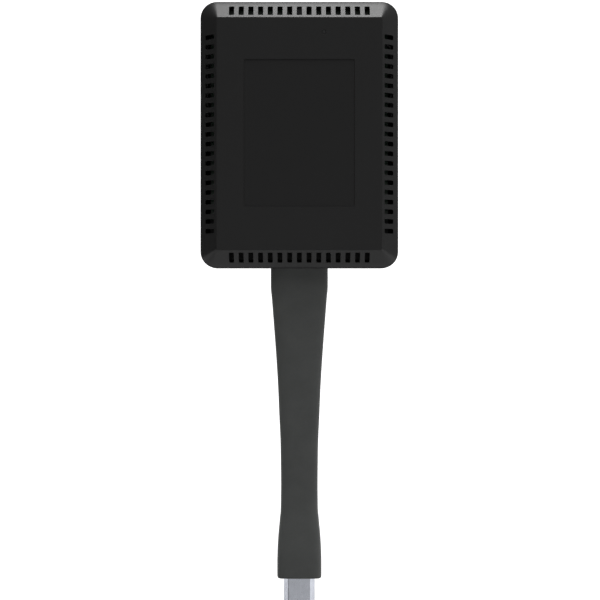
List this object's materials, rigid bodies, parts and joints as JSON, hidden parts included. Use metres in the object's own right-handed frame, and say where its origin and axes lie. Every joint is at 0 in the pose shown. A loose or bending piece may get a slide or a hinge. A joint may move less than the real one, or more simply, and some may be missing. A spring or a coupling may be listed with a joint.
{
  "type": "streaming media player",
  "caption": "Flat rectangular streaming player with a vented bevel, on a springy flat strap that ends in an HDMI plug.",
  "frame": {"origin": "centre of the housing's flat back, which is the face it lies on", "axes": "+Z out of the front face, +Y along the length away from the strap and plug, +X to the right when the front is seen with the strap hanging down"},
  "size_m": [0.089, 0.272, 0.0176],
  "materials": {
    "housing_plastic": "fine moulded texture",
    "inlay_film": "satin film",
    "label_film": "matt film, blank",
    "black_screws": "black oxide",
    "zinc_screws": "zinc plated",
    "circuit_board": "solder mask",
    "radio_circuit": "solder mask",
    "chip_package": "moulded epoxy",
    "gap_pad": "soft silicone",
    "heatsink_metal": "extruded, bead blasted",
    "pin_nylon": "natural nylon",
    "tinned_steel": "tin plated",
    "black_nickel": "black nickel plated",
    "aerial_film": "copper on film",
    "lead_jacket": "fluoropolymer jacket",
    "ferrite": "sintered",
    "ceramic": "fired ceramic",
    "black_insulator": "glass filled",
    "gold_contacts": "gold flash",
    "switch_nylon": "moulded nylon",
    "led_package": "clear epoxy",
    "smoked_acrylic": "smoked acrylic",
    "socket_nylon": "moulded nylon",
    "wire_insulation": "extruded insulation",
    "strap_rubber": "soft-touch elastomer",
    "core_plastic": "moulded inner",
    "nickel_shell": "satin nickel plate"
  },
  "bodies": {
    "housing": {"front_cover": "housing_plastic", "rear_cover": "housing_plastic", "front_inlay": "inlay_film", "rear_label": "label_film", "case_screws": "black_screws", "clamp_screws": "black_screws", "board_screws": "zinc_screws", "main_board": "circuit_board", "radio_board": "radio_circuit", "processor": "chip_package", "memory_chips": "chip_package", "flash_chip": "chip_package", "power_chip": "chip_package", "thermal_pad": "gap_pad", "heatsink": "heatsink_metal", "heatsink_pins": "pin_nylon", "radio_shield": "tinned_steel", "crystal": "tinned_steel", "strap_clamp": "tinned_steel", "usb_c_shell": "black_nickel", "antenna_left": "aerial_film", "antenna_right": "aerial_film", "antenna_leads": "lead_jacket", "inductors": "ferrite", "capacitors": "ceramic", "usb_c_tongue": "black_insulator", "switch_body": "black_insulator", "usb_c_contacts": "gold_contacts", "status_led": "led_package", "light_pipe": "smoked_acrylic", "cable_socket": "socket_nylon", "cable_wires": "wire_insulation", "strap_root": "strap_rubber"},
    "strap_link_1": {"strap_link_1": "strap_rubber"},
    "strap_link_2": {"strap_link_2": "strap_rubber"},
    "plug": {"plug_boot": "strap_rubber", "plug_core": "core_plastic", "plug_shell": "nickel_shell", "plug_insulator": "black_insulator", "plug_contacts": "gold_contacts"},
    "reset_button": {"reset_button": "housing_plastic", "switch_plunger": "switch_nylon"}
  },
  "joints": [
    {"name": "strap_flex_1", "type": "hinge", "parent": "housing", "child": "strap_link_1", "pos_m": [0, -0.08025, 0.007], "axis": [1, 0, 0], "range_deg": [-30, 30], "stiffness_Nm_per_rad": 0.5},
    {"name": "strap_flex_2", "type": "hinge", "parent": "strap_link_1", "child": "strap_link_2", "pos_m": [0, -0.11625, 0.007], "axis": [1, 0, 0], "range_deg": [-30, 30], "stiffness_Nm_per_rad": 0.5},
    {"name": "strap_flex_3", "type": "hinge", "parent": "strap_link_2", "child": "plug", "pos_m": [0, -0.15225, 0.007], "axis": [1, 0, 0], "range_deg": [-30, 30], "stiffness_Nm_per_rad": 0.5},
    {"name": "reset_press", "type": "slide", "parent": "housing", "child": "reset_button", "axis": [0, -1, 0], "range_m": [0, 0.0005], "stiffness_N_per_m": 2500}
  ]
}
